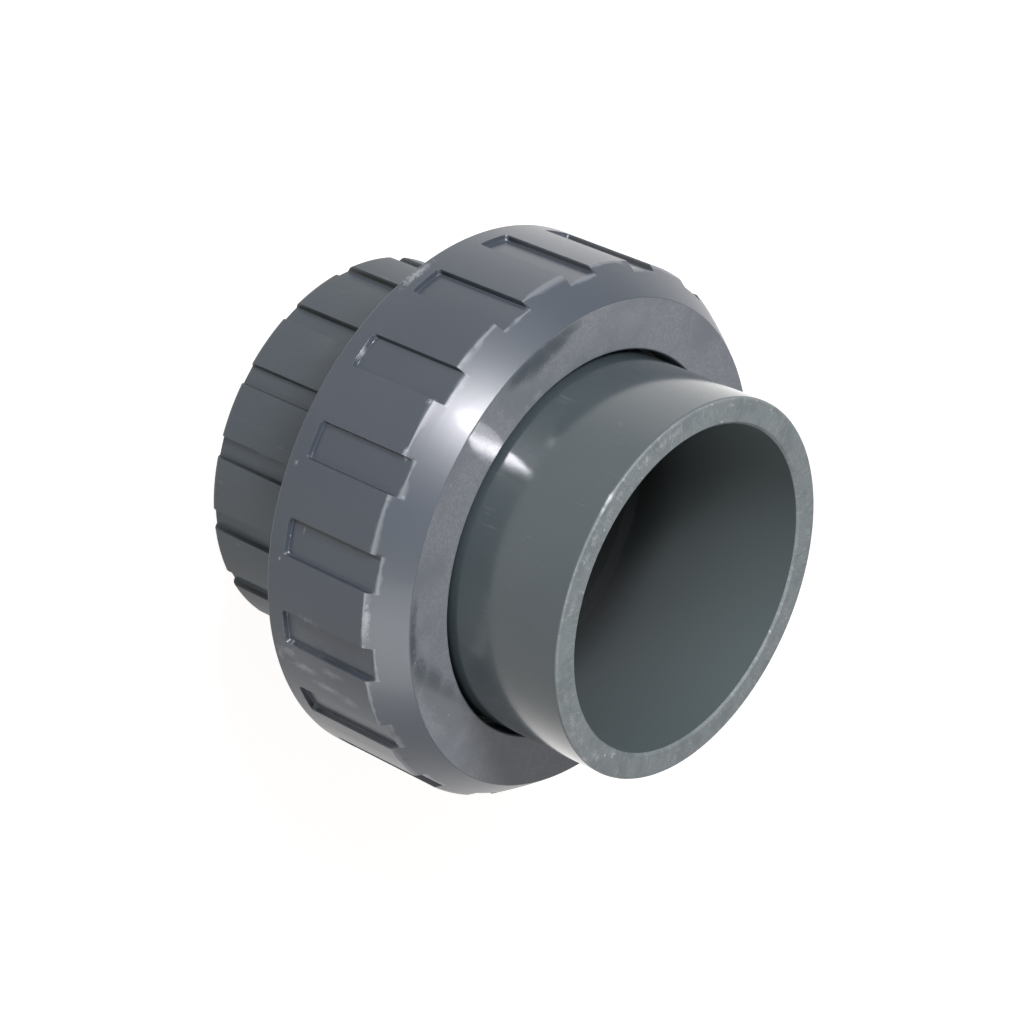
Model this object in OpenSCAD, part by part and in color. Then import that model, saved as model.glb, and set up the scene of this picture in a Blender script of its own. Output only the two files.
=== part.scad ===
// Pipe union: a ring nut draws the flange of a plain tail against the face of a ribbed bush.
// The axis is +Z. The bush's end stands at z = 0 and the tail's mouth is at the top.

/* [Pipe sockets] */
// Outside diameter of the pipe that each socket takes
pipe_d = 63; // [56:0.5:70]
// Gap between the pipe and its socket, all round
pipe_gap = 0.1; // [0.05:0.01:0.3]
// Depth of each socket
socket_depth = 38; // [34:0.5:48]
// Step inward that stops the pipe
stop_step = 3.1; // [1.5:0.1:4.5]
// Bevel inside each socket's mouth
mouth_bevel = 0.5; // [0.2:0.1:1]

/* [Union end] */
// Wall of the tail around its socket
tail_wall = 5.15; // [4:0.05:6.5]
// Rounding of the tail's outer edge
tail_edge = 1; // [0.4:0.1:1.8]
// Wall between the tail's socket and the joint face
end_floor = 4; // [2.5:0.1:8]
// Height of the flange that the nut draws down
flange_thick = 9.2; // [7:0.1:12]
// Width of the flange's shoulder outside the tail
shoulder = 5.25; // [4:0.05:7]

/* [Threaded bush] */
// Wall of the ribbed barrel around its socket, under the ribs
barrel_wall = 4.75; // [3.5:0.05:5.5]
// Height of the ribs on the barrel
rib_height = 1.2; // [0.6:0.1:1.8]
// Number of ribs, and of the grooves between them
rib_count = 16; // [8:1:20]
// Width of each groove between two ribs
rib_groove = 4.25; // [2:0.05:6]
// Rounding of the barrel's outer edge
barrel_edge = 1.4; // [0.4:0.1:1.8]
// Wall between the bush's socket and the joint face
bush_floor = 5.3; // [5:0.1:9]
// Length of the threaded collar
collar_length = 12.9; // [11:0.1:16]
// Bevel at both ends of the threaded collar
collar_bevel = 0.5; // [0.2:0.1:1]

/* [Thread] */
// Distance that the nut travels in one turn
thread_pitch = 4; // [3.5:0.1:4.5]
// Height of the thread
thread_height = 1.6; // [1.2:0.1:1.8]
// Width of the thread at its foot, as a share of the pitch
thread_foot = 0.65; // [0.6:0.01:0.68]
// Slope of the thread's flanks away from square
flank_angle = 23.6; // [18:0.1:26]
// Gap between the two threads, at crest and root
thread_gap = 0.3; // [0.25:0.01:0.4]
// Angle over which the thread rises and runs out
thread_run_in = 45; // [30:7.5:90]

/* [Union nut] */
// Height of the nut
nut_length = 31.3; // [30:0.1:36]
// Wall of the nut outside its thread
nut_wall = 8.4; // [6:0.1:11]
// Thickness of the lip that bears on the flange
lip_thick = 8; // [6:0.1:10]
// Gap between the lip's bore and the tail, all round
lip_gap = 1; // [0.4:0.05:1.5]
// Height of the sloped front edge
cone_height = 7.1; // [4:0.1:9]
// Width of the sloped front edge
cone_width = 4.8; // [3:0.1:6]
// Number of grip pockets round the nut
pocket_count = 18; // [8:1:20]
// Width of each pocket
pocket_width = 7.3; // [4:0.1:9]
// Depth of each pocket
pocket_depth = 1; // [0.6:0.1:2]
// Plain rim left behind the pockets
back_rim = 4.3; // [2:0.1:8]
// Bevel of the nut's back edges
nut_bevel = 0.8; // [0.3:0.1:1.2]
// Where the tightened nut stops, as a turn from the bush's ribs
nut_turn_at_rest = -4.2; // [-10:0.1:10]

/* [Seal] */
// Thickness of the seal ring's cord
seal_cord = 4; // [3:0.1:4.2]
// Radius of the seal ring's centre line, outside the pipe stop
seal_offset = 7; // [6:0.1:8]
// Width of the seal's groove beyond its cord
seal_side_room = 1; // [0.4:0.1:1.6]
// Gap over and under the pressed seal ring
seal_gap = 0.05; // [0.02:0.01:0.1]

/* [Fits] */
// Gap between the joint faces of the two halves
joint_gap = 0.1; // [0.05:0.01:0.3]
// Gap between the lip and the flange that it bears on
lip_play = 0.1; // [0.05:0.01:0.3]
// Gap between the flange and the crest of the nut's thread
flange_gap = 0.5; // [0.3:0.05:0.8]

/* [Hidden] */
$fn = 96;
past = 1;            // how far a cutter reaches past the face that it opens
thread_sink = 0.5;   // how far the thread's foot lies under the wall that carries it
thread_steps = 50;   // flats in one turn of the thread
bush_grey = "#555c64";
nut_grey = "#5d626c";
tail_grey = "#56605f";
seal_black = "#1c1c1c";

// Radii, from the axis outward
socket_r = pipe_d / 2 + pipe_gap;
waterway_r = socket_r - stop_step;
tail_r = socket_r + tail_wall;
groove_floor_r = socket_r + barrel_wall;
barrel_r = groove_floor_r + rib_height;
lip_r = tail_r + lip_gap;
flange_r = tail_r + shoulder;
nut_crest_r = flange_r + flange_gap;
bush_core_r = nut_crest_r - thread_gap;
bush_crest_r = bush_core_r + thread_height;
nut_root_r = bush_crest_r + thread_gap;
nut_r = nut_root_r + nut_wall;
face_r = nut_r - cone_width;
seal_r = waterway_r + seal_offset;

// Heights, from the bush's end upward
joint_z = socket_depth + bush_floor;
collar_z = joint_z - collar_length;
end_z = joint_z + joint_gap;
flange_top = end_z + flange_thick;
tail_stop_z = end_z + end_floor;
mouth_z = tail_stop_z + socket_depth;
lip_z = flange_top + lip_play;
nut_top = lip_z + lip_thick;
nut_back = nut_top - nut_length;
cone_z = nut_top - cone_height;
pocket_z = nut_back + back_rim;
seal_groove_depth = seal_cord + 2 * seal_gap;
seal_groove_width = seal_cord + seal_side_room;

// Where the middle of each thread's foot begins and ends
foot_half = thread_foot * thread_pitch / 2;
bush_thread_low = collar_z + collar_bevel + foot_half;
bush_thread_high = joint_z - collar_bevel - foot_half;
nut_thread_low = nut_back + nut_bevel + foot_half;
nut_thread_high = joint_z;
// The nut's thread runs half a pitch from the bush's, in the same spiral
nut_thread_start = 360 * (nut_thread_low - bush_thread_low) / thread_pitch - 180;

// The sharp corner that a rounding of radius e takes off a profile, on its outer side
module corner_waste(r, z, e, side) {
    translate([r - e, z - side * e])
        difference() {
            mirror([0, side < 0 ? 1 : 0]) square(e + past);
            circle(e);
        }
}

// One cross-section of a thread, from its inner edge to its outer edge
function thread_section(r_in, half_in, r_out, half_out, turn, z) = [
    for (corner = [[r_in, -half_in], [r_out, -half_out], [r_out, half_out], [r_in, half_in]])
        [corner[0] * cos(turn), corner[0] * sin(turn), z + corner[1]]
];

// Half the thread's width at a height h above the wall that carries it
function half_width(h) = foot_half - h * tan(flank_angle);

// Share of its full height that the thread has, from its two ends
function rise(along, whole) = min(1, along / thread_run_in, (whole - along) / thread_run_in);

// A right-hand thread on a wall of radius wall_r; out is 1 for outside, -1 for inside a bore
module thread_ridge(wall_r, out, z_low, z_high, start) {
    whole = 360 * (z_high - z_low) / thread_pitch;
    steps = ceil(whole * thread_steps / 360);
    sections = [
        for (i = [0:steps])
            let (
                along = whole * i / steps,
                crest = (thread_height + thread_sink / 2) * rise(along, whole) - thread_sink / 2,
                foot_r = wall_r - out * thread_sink,
                crest_r = wall_r + out * crest,
                z = z_low + thread_pitch * along / 360
            )
            out > 0
                ? thread_section(foot_r, half_width(-thread_sink), crest_r, half_width(crest), start + along, z)
                : thread_section(crest_r, half_width(crest), foot_r, half_width(-thread_sink), start + along, z)
    ];
    sides = [
        for (i = [0:steps - 1], k = [0:3])
            let (a = 4 * i + k, b = 4 * i + (k + 1) % 4, c = a + 4, d = b + 4)
            each [[a, b, c], [b, d, c]]
    ];
    last = 4 * steps;
    caps = [[0, 2, 1], [0, 3, 2], [last, last + 1, last + 2], [last, last + 2, last + 3]];
    polyhedron(points = [for (section = sections) each section], faces = concat(sides, caps), convexity = 8);
}

// The hollow inside a half: its socket, the pipe stop's hole and the bevelled mouth.
// It is drawn with the mouth at z = 0 and the socket upward.
module socket_hollow(floor_thick) {
    rotate_extrude()
        polygon([
            [0, -past],
            [socket_r + mouth_bevel, -past],
            [socket_r + mouth_bevel, 0],
            [socket_r, mouth_bevel],
            [socket_r, socket_depth],
            [waterway_r, socket_depth],
            [waterway_r, socket_depth + floor_thick + past],
            [0, socket_depth + floor_thick + past]
        ]);
}

// Ribbed barrel with a socket below, and a threaded collar above that holds the seal
module threaded_bush() {
    color(bush_grey)
        difference() {
            union() {
                barrel();
                rotate_extrude()
                    polygon([
                        [0, collar_z],
                        [bush_core_r - collar_bevel, collar_z],
                        [bush_core_r, collar_z + collar_bevel],
                        [bush_core_r, joint_z - collar_bevel],
                        [bush_core_r - collar_bevel, joint_z],
                        [0, joint_z]
                    ]);
                thread_ridge(bush_core_r, 1, bush_thread_low, bush_thread_high, 0);
            }
            socket_hollow(bush_floor);
            seal_groove();
        }
}

module barrel() {
    difference() {
        rotate_extrude()
            difference() {
                square([barrel_r, collar_z + past]);
                corner_waste(barrel_r, 0, barrel_edge, -1);
            }
        for (i = [0:rib_count - 1])
            rotate(i * 360 / rib_count)
                translate([groove_floor_r, -rib_groove / 2, -past])
                    cube([rib_height + past, rib_groove, collar_z + past]);
    }
}

module seal_groove() {
    translate([0, 0, joint_z - seal_groove_depth])
        rotate_extrude()
            translate([seal_r - seal_groove_width / 2, 0])
                square([seal_groove_width, seal_groove_depth + past]);
}

// Rubber ring, drawn as thick as it is when pressed into its groove
module seal_ring() {
    color(seal_black)
        translate([0, 0, joint_z - seal_gap - seal_cord / 2])
            rotate_extrude()
                translate([seal_r, 0])
                    circle(d = seal_cord);
}

// Plain tail with a socket above and a flange below
module union_end() {
    color(tail_grey)
        difference() {
            union() {
                rotate_extrude()
                    difference() {
                        translate([0, end_z]) square([tail_r, mouth_z - end_z]);
                        corner_waste(tail_r, mouth_z, tail_edge, 1);
                    }
                translate([0, 0, end_z]) cylinder(r = flange_r, h = flange_thick);
            }
            translate([0, 0, mouth_z])
                mirror([0, 0, 1])
                    socket_hollow(end_floor);
        }
}

// Ring nut: a lip at the top, a thread below, and grip pockets open to the sloped front edge
module union_nut() {
    color(nut_grey)
        rotate(nut_turn_at_rest) {
            difference() {
                rotate_extrude()
                    polygon([
                        [nut_root_r + nut_bevel, nut_back],
                        [nut_r - nut_bevel, nut_back],
                        [nut_r, nut_back + nut_bevel],
                        [nut_r, cone_z],
                        [face_r, nut_top],
                        [lip_r, nut_top],
                        [lip_r, lip_z],
                        [nut_root_r, lip_z],
                        [nut_root_r, nut_back + nut_bevel]
                    ]);
                for (i = [0:pocket_count - 1])
                    rotate(i * 360 / pocket_count)
                        translate([nut_r - pocket_depth, -pocket_width / 2, pocket_z])
                            cube([pocket_depth + past, pocket_width, nut_top - pocket_z]);
            }
            thread_ridge(
                nut_root_r, -1, nut_thread_low, nut_thread_high, nut_thread_start - nut_turn_at_rest
            );
        }
}

threaded_bush();
seal_ring();
union_end();
union_nut();
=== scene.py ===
import math

import bmesh
import bpy
from mathutils import Matrix, Vector


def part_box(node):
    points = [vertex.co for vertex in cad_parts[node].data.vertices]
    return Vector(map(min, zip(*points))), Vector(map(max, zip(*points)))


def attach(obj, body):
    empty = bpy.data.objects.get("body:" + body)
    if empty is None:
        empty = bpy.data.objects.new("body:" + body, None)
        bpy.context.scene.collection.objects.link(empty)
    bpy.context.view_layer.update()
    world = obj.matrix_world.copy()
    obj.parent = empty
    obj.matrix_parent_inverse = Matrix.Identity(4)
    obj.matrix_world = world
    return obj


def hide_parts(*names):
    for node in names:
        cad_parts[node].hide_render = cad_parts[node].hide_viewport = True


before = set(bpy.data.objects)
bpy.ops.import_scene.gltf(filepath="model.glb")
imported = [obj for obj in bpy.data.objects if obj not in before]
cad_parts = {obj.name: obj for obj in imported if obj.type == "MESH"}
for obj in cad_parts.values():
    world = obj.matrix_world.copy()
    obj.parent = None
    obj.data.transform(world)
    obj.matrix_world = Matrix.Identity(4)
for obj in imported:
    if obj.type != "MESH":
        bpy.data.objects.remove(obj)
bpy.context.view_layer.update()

# All sizes are in millimetres and angles in degrees. MM turns them into Blender's metres.
MM = 0.001

# Sizes that come from the frame
bush_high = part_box("threaded_bush")[1] / MM
tail_low, tail_high = [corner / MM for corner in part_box("union_end")]
nut_low, nut_high = [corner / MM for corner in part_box("union_nut")]
JOINT_Z = bush_high.z
TAIL_FOOT_Z = tail_low.z
MOUTH_Z = tail_high.z
FLANGE_R = tail_high.x
NUT_BACK_Z = nut_low.z
NUT_TOP_Z = nut_high.z
NUT_R = nut_high.x

# Pipe sockets
SOCKET_R = 31.6
WATERWAY_R = 28.5
SOCKET_DEPTH = 38
MOUTH_BEVEL = 0.5

# Union end
TAIL_R = 36.75
FLANGE_TOP_Z = 52.6
MOUTH_EDGE = 0.6

# Threaded bush
BARREL_R = 37.55
RIB_COUNT = 16
RIB_GROOVE_WIDTH = 4.25
RIB_GROOVE_DEPTH = 1.2
BARREL_EDGE = 1.3
COLLAR_Z = 30.4
COLLAR_R = 42.2
COLLAR_BEVEL = 0.5
SEAL_R = 35.5
SEAL_GROOVE_WIDTH = 5
SEAL_GROOVE_DEPTH = 4.1

# Union nut
NUT_BORE_R = 44.1
LIP_R = 37.75
LIP_Z = 52.7
FACE_R = 47.7
CONE_Z = NUT_TOP_Z - 7.1
POCKET_COUNT = 18
POCKET_TURN = -4.2
POCKET_WIDTH = 7.3
POCKET_DEPTH = 1
POCKET_Z = NUT_BACK_Z + 4.3
NUT_BEVEL = 0.8
SLOPE_RUN = NUT_R - FACE_R
SLOPE_RISE = NUT_TOP_Z - CONE_Z
SLOPE_BULGE = 0.16
SLOPE_OUTWARD = (0.83, 0.56)
SLOPE_ROUND = 90
POCKET_END_LIFT = 0.2
POCKET_END_Z = CONE_Z + POCKET_DEPTH * SLOPE_RISE / SLOPE_RUN + POCKET_END_LIFT

# Thread
PITCH = 4
THREAD_HEIGHT = 1.6
THREAD_FOOT_HALF = 1.3
FLANK = math.tan(math.radians(23.6))
THREAD_SINK = 0.5
THREAD_RUN_IN = 45
THREAD_STEPS = 120
BUSH_THREAD = (32.2, 41.5)
NUT_THREAD = (31.5, 43.3)
NUT_THREAD_START = -243

# The slope of a moulded wall, as its run for one of height, and the roundings at its head and foot
WALL_DRAFT = 0.16
HEAD_ROUND = 0.14
FOOT_ROUND = 0.55
CORNER_ROUND = 0.9


def smooth_min(a, b, width):
    """The lower of two heights, with the corner between them rounded over width."""
    share = max(width - abs(a - b), 0) / width
    return min(a, b) - share * share * width / 4


def smooth_max(a, b, width):
    return -smooth_min(-a, -b, width)


def recess(inside, wall_r, depth):
    """Radius of a recess's surface at a distance inside its outline: a drafted wall, round foot and floor."""
    return smooth_max(wall_r - inside / WALL_DRAFT, wall_r - depth, FOOT_ROUND)


def rounded(corners):
    """A closed profile from corners (radius, height, rounding), each an arc with a held edge beside it."""
    arc_steps = 4
    hold = 0.12
    profile = []
    for i, (r, z, rounding) in enumerate(corners):
        here = Vector((r, z))
        before = Vector(corners[i - 1][:2]) - here
        after = Vector(corners[(i + 1) % len(corners)][:2]) - here
        half_turn = before.angle(after) / 2
        cut = rounding / math.tan(half_turn)
        inward = (before.normalized() + after.normalized()).normalized()
        middle = here + inward * rounding / math.sin(half_turn)
        start = here + before.normalized() * cut
        end = here + after.normalized() * cut
        if before.length > 2 * (cut + hold):
            profile.append(start + before.normalized() * hold)
        for step in range(arc_steps + 1):
            spoke = (start - middle).lerp(end - middle, step / arc_steps).normalized() * rounding
            profile.append(middle + spoke)
        if after.length > 2 * (cut + hold):
            profile.append(end + after.normalized() * hold)
    return [(point.x, point.y) for point in profile]


def with_rows(profile, heights, wall_r):
    """The profile with more points at the given heights of its outer wall."""
    filled = []
    for i, (r, z) in enumerate(profile):
        filled.append((r, z))
        next_r, next_z = profile[(i + 1) % len(profile)]
        on_wall = min(r, next_r) > wall_r and next_z > z
        for height in heights:
            if on_wall and z < height < next_z:
                share = (height - z) / (next_z - z)
                filled.append((r + (next_r - r) * share, height))
    return filled


def skin(name, rows):
    """A closed solid from rows of points that run round the axis; the last row joins the first."""
    columns = len(rows[0])
    points = [Vector(point) * MM for row in rows for point in row]
    faces = []
    for i in range(len(rows)):
        below = i * columns
        above = (i + 1) % len(rows) * columns
        for k in range(columns):
            beside = (k + 1) % columns
            faces.append((below + k, below + beside, above + beside, above + k))
    mesh = bpy.data.meshes.new(name)
    mesh.from_pydata(points, [], faces)
    mesh.update()
    piece = bpy.data.objects.new(name, mesh)
    bpy.context.scene.collection.objects.link(piece)
    return piece


def turned(name, profile, turns, shape=None):
    """A turned body; shape(radius, height, turn) may give each point another radius."""
    rows = []
    for r, z in profile:
        row = []
        for turn in turns:
            radius = shape(r, z, turn) if shape else r
            row.append((radius * math.cos(turn), radius * math.sin(turn), z))
        rows.append(row)
    return skin(name, rows)


def thread_ridge(wall_r, out, ends, start):
    """A right-hand thread as a closed solid; out is 1 on a collar and -1 in a bore."""
    z_low, z_high = ends
    whole = 360 * (z_high - z_low) / PITCH
    steps = math.ceil(whole * THREAD_STEPS / 360)
    rows = []
    for k in range(steps + 1):
        along = whole * k / steps
        rise = min(1, along / THREAD_RUN_IN, (whole - along) / THREAD_RUN_IN)
        height = (THREAD_HEIGHT + THREAD_SINK / 2) * rise - THREAD_SINK / 2
        foot_half = THREAD_FOOT_HALF + THREAD_SINK * FLANK
        crest_half = THREAD_FOOT_HALF - height * FLANK
        z = z_low + PITCH * along / 360
        turn = math.radians(start + along)
        foot_r = wall_r - out * THREAD_SINK
        crest_r = wall_r + out * height
        section = [(foot_r, -foot_half), (crest_r, -crest_half), (crest_r, crest_half), (foot_r, foot_half)]
        rows.append([(r * math.cos(turn), r * math.sin(turn), z + dz) for r, dz in section])
    mesh = bpy.data.meshes.new("thread_ridge")
    points = [Vector(point) * MM for row in rows for point in row]
    faces = [(0, 1, 2, 3), tuple(len(points) - 1 - k for k in range(4))]
    for k in range(steps):
        for corner in range(4):
            beside = (corner + 1) % 4
            faces.append((4 * k + beside, 4 * k + corner, 4 * k + 4 + corner, 4 * k + 4 + beside))
    mesh.from_pydata(points, [], faces)
    mesh.update()
    ridge = bpy.data.objects.new("thread_ridge", mesh)
    bpy.context.scene.collection.objects.link(ridge)
    return ridge


def face_outward(piece):
    """Turns every face of a closed mesh outward."""
    shape = bmesh.new()
    shape.from_mesh(piece.data)
    bmesh.ops.recalc_face_normals(shape, faces=shape.faces)
    shape.to_mesh(piece.data)
    shape.free()


def join_thread(piece, ridge):
    """Unites a body with its thread into one closed mesh."""
    face_outward(piece)
    face_outward(ridge)
    union = piece.modifiers.new("thread", "BOOLEAN")
    union.operation = "UNION"
    union.solver = "MANIFOLD"
    union.object = ridge
    bpy.context.view_layer.update()
    solid = bpy.data.meshes.new_from_object(piece.evaluated_get(bpy.context.evaluated_depsgraph_get()))
    piece.modifiers.clear()
    piece.data = solid
    bpy.data.objects.remove(ridge)


def shade(piece):
    """Smooth shading that keeps true corners sharp."""
    sharp_angle = 32
    for polygon in piece.data.polygons:
        polygon.use_smooth = True
    piece.data.set_sharp_from_angle(angle=math.radians(sharp_angle))


def wall_steps():
    """Distances inside a recess's outline at which its mesh has lines, close together at the wall's bends."""
    return [-0.35, -0.12, -0.05, 0, 0.04, 0.09, 0.14, 0.2, 0.28, 0.4, 0.6, 0.9]


def recess_turns(count, first, width, radius):
    """Angles of the mesh lines round a body with recesses: dense at each wall and even between the walls."""
    pitch = 2 * math.pi / count
    offsets = []
    for step in wall_steps():
        reach = math.asin((width / 2 - step) / radius)
        offsets += [-reach, reach]
    floor_lines = 5
    land_lines = 8
    floor_half = min(abs(offset) for offset in offsets)
    land_half = max(offsets)
    offsets += [floor_half * (2 * k / (floor_lines + 1) - 1) for k in range(1, floor_lines + 1)]
    offsets += [land_half + (pitch - 2 * land_half) * k / (land_lines + 1) for k in range(1, land_lines + 1)]
    return [math.radians(first) + i * pitch + offset for i in range(count) for offset in sorted(offsets)]


def inside_recess(turn, count, first, width, radius):
    """How far a point of a wall lies inside the side walls of its nearest recess."""
    pitch = 2 * math.pi / count
    from_middle = (turn - math.radians(first) + pitch / 2) % pitch - pitch / 2
    return width / 2 - abs(radius * math.sin(from_middle))


def make_nut():
    """Ring nut with drafted grip pockets, a sloped front edge, a lip and its internal thread."""
    slope_middle_r = NUT_R - SLOPE_RUN / 2 + SLOPE_BULGE * SLOPE_OUTWARD[0]
    slope_middle_z = CONE_Z + SLOPE_RISE / 2 + SLOPE_BULGE * SLOPE_OUTWARD[1]
    profile = rounded([
        (NUT_BORE_R + NUT_BEVEL, NUT_BACK_Z, 0.15),
        (NUT_R - NUT_BEVEL, NUT_BACK_Z, 0.3),
        (NUT_R, NUT_BACK_Z + NUT_BEVEL, 0.4),
        (NUT_R, CONE_Z, 0.12),
        (slope_middle_r, slope_middle_z, SLOPE_ROUND),
        (FACE_R, NUT_TOP_Z, 0.3),
        (LIP_R, NUT_TOP_Z, 0.45),
        (LIP_R, LIP_Z, 0.3),
        (NUT_BORE_R, LIP_Z, 0.4),
        (NUT_BORE_R, NUT_BACK_Z + NUT_BEVEL, 0.15),
    ])
    back_wall = [POCKET_Z + step for step in wall_steps()]
    plain_wall = [POCKET_Z + rise for rise in (1.6, 4, 7, 11, 15)]
    pocket_front = [POCKET_END_Z + step for step in (-1, -0.6, -0.3, -0.12, 0, 0.12, 0.3, 0.7, 1.5, 3)]
    profile = with_rows(profile, back_wall + plain_wall + pocket_front, FACE_R)

    def pocketed(r, z, turn):
        if r < FACE_R:
            return r
        beside = inside_recess(turn, POCKET_COUNT, POCKET_TURN, POCKET_WIDTH, NUT_R)
        inside = smooth_min(beside, z - POCKET_Z, CORNER_ROUND)
        return smooth_min(r, recess(inside, NUT_R, POCKET_DEPTH), HEAD_ROUND)

    turns = recess_turns(POCKET_COUNT, POCKET_TURN, POCKET_WIDTH, NUT_R)
    nut = turned("ring_nut", profile, turns, pocketed)
    join_thread(nut, thread_ridge(NUT_BORE_R, -1, NUT_THREAD, NUT_THREAD_START))
    return nut


def make_bush():
    """Ribbed barrel with a socket, a threaded collar and the seal's groove."""
    groove_in = SEAL_R - SEAL_GROOVE_WIDTH / 2
    groove_out = SEAL_R + SEAL_GROOVE_WIDTH / 2
    groove_z = JOINT_Z - SEAL_GROOVE_DEPTH
    profile = rounded([
        (SOCKET_R + MOUTH_BEVEL, 0, 0.15),
        (BARREL_R, 0, BARREL_EDGE),
        (BARREL_R, COLLAR_Z, 0.15),
        (COLLAR_R - COLLAR_BEVEL, COLLAR_Z, 0.1),
        (COLLAR_R, COLLAR_Z + COLLAR_BEVEL, 0.1),
        (COLLAR_R, JOINT_Z - COLLAR_BEVEL, 0.1),
        (COLLAR_R - COLLAR_BEVEL, JOINT_Z, 0.1),
        (groove_out, JOINT_Z, 0.2),
        (groove_out, groove_z, 0.3),
        (groove_in, groove_z, 0.3),
        (groove_in, JOINT_Z, 0.2),
        (WATERWAY_R, JOINT_Z, 0.3),
        (WATERWAY_R, SOCKET_DEPTH, 0.3),
        (SOCKET_R, SOCKET_DEPTH, 0.3),
        (SOCKET_R, MOUTH_BEVEL, 0.15),
    ])
    barrel_rows = range(4, 32, 4)
    profile = with_rows(profile, barrel_rows, BARREL_R - RIB_GROOVE_DEPTH)

    def ribbed(r, z, turn):
        if z > COLLAR_Z or r < SOCKET_R + MOUTH_BEVEL:
            return r
        inside = inside_recess(turn, RIB_COUNT, 0, RIB_GROOVE_WIDTH, BARREL_R)
        return smooth_min(r, recess(inside, BARREL_R, RIB_GROOVE_DEPTH), HEAD_ROUND)

    turns = recess_turns(RIB_COUNT, 0, RIB_GROOVE_WIDTH, BARREL_R)
    bush = turned("ribbed_bush", profile, turns, ribbed)
    join_thread(bush, thread_ridge(COLLAR_R, 1, BUSH_THREAD, 0))
    return bush


def make_tail():
    """Plain tail with a flange below, a socket above and its stop."""
    stop_z = MOUTH_Z - SOCKET_DEPTH
    profile = rounded([
        (WATERWAY_R, TAIL_FOOT_Z, 0.3),
        (FLANGE_R, TAIL_FOOT_Z, 0.4),
        (FLANGE_R, FLANGE_TOP_Z, 0.4),
        (TAIL_R, FLANGE_TOP_Z, 0.6),
        (TAIL_R, MOUTH_Z, MOUTH_EDGE),
        (SOCKET_R + MOUTH_BEVEL, MOUTH_Z, 0.15),
        (SOCKET_R, MOUTH_Z - MOUTH_BEVEL, 0.2),
        (SOCKET_R, stop_z, 0.3),
        (WATERWAY_R, stop_z, 0.3),
    ])
    columns = 256
    turns = [2 * math.pi * k / columns for k in range(columns)]
    tail = turned("plain_tail", profile, turns)
    face_outward(tail)
    return tail


# Camera: it looks at the union's axis from the front and above the mouth, and is rolled as the photo shows it
SENSOR = 36
LENS = 123.77
LOOK_POINT = Vector((0, 0, 42.2))
LOOK_AZIMUTH = 253.35
LOOK_ELEVATION = 35.43
LOOK_ROLL = 113.76
LOOK_DISTANCE = 660.64


def camera_axes():
    """The camera's right, up and backward directions, in the frame."""
    azimuth = math.radians(LOOK_AZIMUTH)
    elevation = math.radians(LOOK_ELEVATION)
    back = Vector((
        math.cos(azimuth) * math.cos(elevation),
        math.sin(azimuth) * math.cos(elevation),
        math.sin(elevation),
    ))
    level_right = Vector((0, 0, 1)).cross(back).normalized()
    level_up = back.cross(level_right)
    roll = math.radians(LOOK_ROLL)
    right = level_right * math.cos(roll) + level_up * math.sin(roll)
    return right, back.cross(right), back


def make_camera():
    right, up, back = camera_axes()
    data = bpy.data.cameras.new("camera")
    data.sensor_width = SENSOR
    data.lens = LENS
    camera = bpy.data.objects.new("camera", data)
    turn = Matrix((right, up, back)).transposed().to_4x4()
    camera.matrix_world = Matrix.Translation((LOOK_POINT + back * LOOK_DISTANCE) * MM) @ turn
    bpy.context.scene.collection.objects.link(camera)
    bpy.context.scene.camera = camera


def lamp(name, toward, distance, size, power, colour):
    """A round soft lamp at a distance from the union; toward is its direction as (right, up, backward)."""
    right, up, back = camera_axes()
    direction = (right * toward[0] + up * toward[1] + back * toward[2]).normalized()
    data = bpy.data.lights.new(name, "AREA")
    data.shape = "DISK"
    data.size = size * MM
    data.energy = power
    data.color = colour
    light = bpy.data.objects.new(name, data)
    light.location = (LOOK_POINT + direction * distance) * MM
    light.rotation_mode = "QUATERNION"
    light.rotation_quaternion = direction.to_track_quat("Z", "Y")
    light.visible_camera = False
    bpy.context.scene.collection.objects.link(light)
    return light


# The middle level of a noise texture
NOISE_MIDDLE = 0.5


def put(tree, kind, inputs=None, **settings):
    """Adds a node; inputs maps a socket's name or number to a value or to another node's output."""
    node = tree.nodes.new(kind)
    for setting, value in settings.items():
        setattr(node, setting, value)
    for socket, value in (inputs or {}).items():
        feed(tree, node.inputs[socket], value)
    return node


def feed(tree, socket, value):
    """Gives a socket a value, or joins another node's output to it."""
    if isinstance(value, bpy.types.NodeSocket):
        tree.links.new(value, socket)
    else:
        socket.default_value = value


def calc(tree, operation, *values, clamp=False):
    inputs = dict(enumerate(values))
    return put(tree, "ShaderNodeMath", inputs, operation=operation, use_clamp=clamp).outputs[0]


def vector_calc(tree, operation, *values, output="Vector"):
    inputs = dict(enumerate(values))
    return put(tree, "ShaderNodeVectorMath", inputs, operation=operation).outputs[output]


def scaled(tree, vector, factor):
    inputs = {0: vector, "Scale": factor}
    return put(tree, "ShaderNodeVectorMath", inputs, operation="SCALE").outputs["Vector"]


def combine(tree, **parts):
    """A vector from its parts X, Y and Z; a part that isn't given is 0."""
    return put(tree, "ShaderNodeCombineXYZ", parts).outputs[0]


def separate(tree, vector):
    return put(tree, "ShaderNodeSeparateXYZ", {0: vector}).outputs


def span(tree, value, low, high, out_low=0.0, out_high=1.0):
    """A smooth step from out_low to out_high as value goes from low to high."""
    inputs = {"Value": value, "From Min": low, "From Max": high, "To Min": out_low, "To Max": out_high}
    return put(tree, "ShaderNodeMapRange", inputs, interpolation_type="SMOOTHSTEP").outputs[0]


def blend_colour(tree, share, below, above):
    node = put(tree, "ShaderNodeMix", data_type="RGBA")
    feed(tree, node.inputs[0], share)
    feed(tree, node.inputs[6], below)
    feed(tree, node.inputs[7], above)
    return node.outputs[2]


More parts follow.
